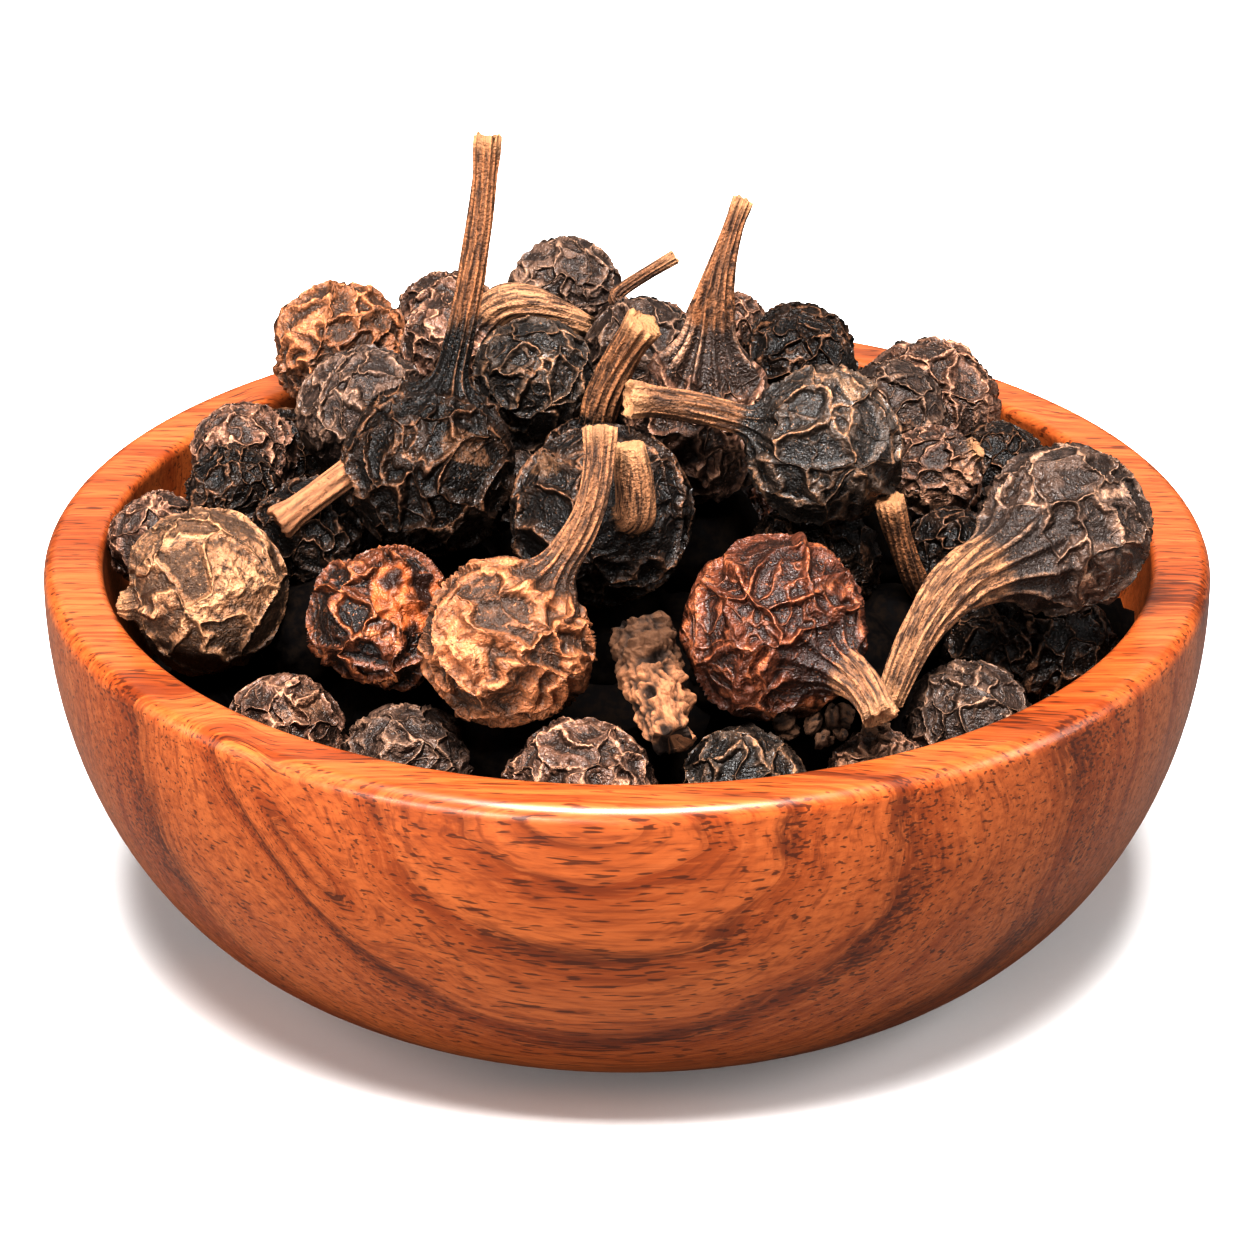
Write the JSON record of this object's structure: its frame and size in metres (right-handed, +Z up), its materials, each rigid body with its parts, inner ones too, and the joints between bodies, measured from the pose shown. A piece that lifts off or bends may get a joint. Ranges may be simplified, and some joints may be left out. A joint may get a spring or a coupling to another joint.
{
  "type": "bowl of cubeb pepper",
  "caption": "Small turned wooden bowl heaped with dried cubeb pepper, round wrinkled berries with stiff stalks.",
  "frame": {"origin": "middle of the bowl's flat foot, on the surface that it stands on", "axes": "+Z up out of the bowl, -Y towards the side that the picture shows, +X to the right there"},
  "size_m": [0.042, 0.042, 0.0305],
  "materials": {
    "bowl_wood": "turned and oiled hardwood, satin",
    "dried_cubeb": "dried berries, matte to dull satin, wrinkled"
  },
  "bodies": {
    "root": {"bowl": "bowl_wood", "cubeb_heap": "dried_cubeb"}
  },
  "joints": []
}
